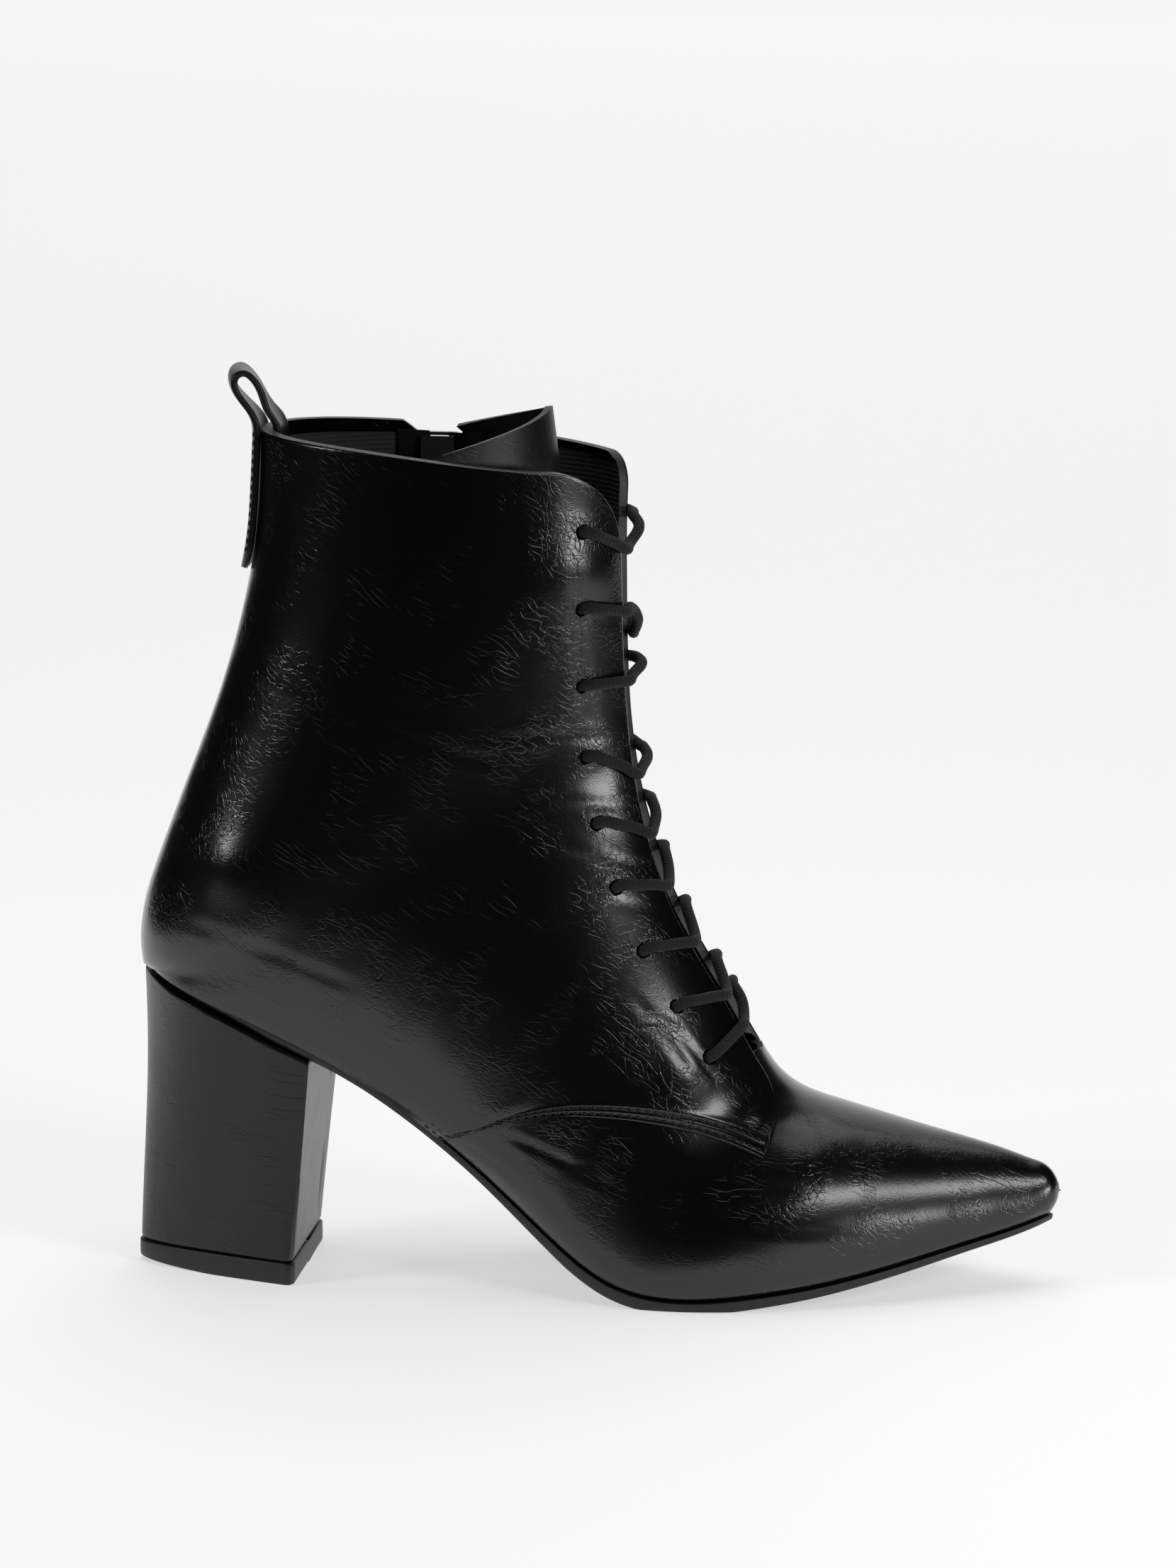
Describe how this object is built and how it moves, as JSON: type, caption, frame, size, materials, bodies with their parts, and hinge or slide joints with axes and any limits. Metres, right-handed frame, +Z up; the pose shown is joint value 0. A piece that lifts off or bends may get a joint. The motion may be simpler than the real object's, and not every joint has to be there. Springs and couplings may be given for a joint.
{
  "type": "heeled boot",
  "caption": "Pointed lace-up ankle boot for the right foot with a covered block heel, a side zip, a tongue and a back pull loop.",
  "frame": {"origin": "on the floor, under the middle of the boot's box", "axes": "+X towards the toe, +Z up, -Y towards the outer (lateral) side of the foot"},
  "size_m": [0.2393, 0.0787, 0.2359],
  "materials": {
    "upper_leather": "glossy crinkled",
    "tongue_leather": "satin crinkled",
    "insole_board": "matte",
    "outsole_rubber": "satin",
    "heel_cover": "satin crinkled",
    "tip_rubber": "satin",
    "loop_strap": "satin",
    "lace_cord": "matte braided",
    "zip_nylon": "matte",
    "zip_steel": "polished"
  },
  "bodies": {
    "boot": {"upper": "upper_leather", "tongue": "tongue_leather", "insole": "insole_board", "outsole": "outsole_rubber", "heel": "heel_cover", "heel_tip": "tip_rubber", "pull_loop": "loop_strap", "lace_bar": "lace_cord", "lace_crossing_1": "lace_cord", "lace_crossing_2": "lace_cord", "lace_crossing_3": "lace_cord", "lace_crossing_4": "lace_cord", "lace_crossing_5": "lace_cord", "lace_crossing_6": "lace_cord", "lace_crossing_7": "lace_cord", "lace_crossing_8": "lace_cord", "zip": "zip_nylon", "zip_slider": "zip_steel"},
    "pull_tab": {"zip_pull_tab": "zip_steel"}
  },
  "joints": [
    {"name": "pull_tab_hinge", "type": "hinge", "parent": "boot", "child": "pull_tab", "pos_m": [-0.045, 0.03492, 0.20924], "axis": [1, 0, 0], "range_deg": [0, 165]}
  ]
}
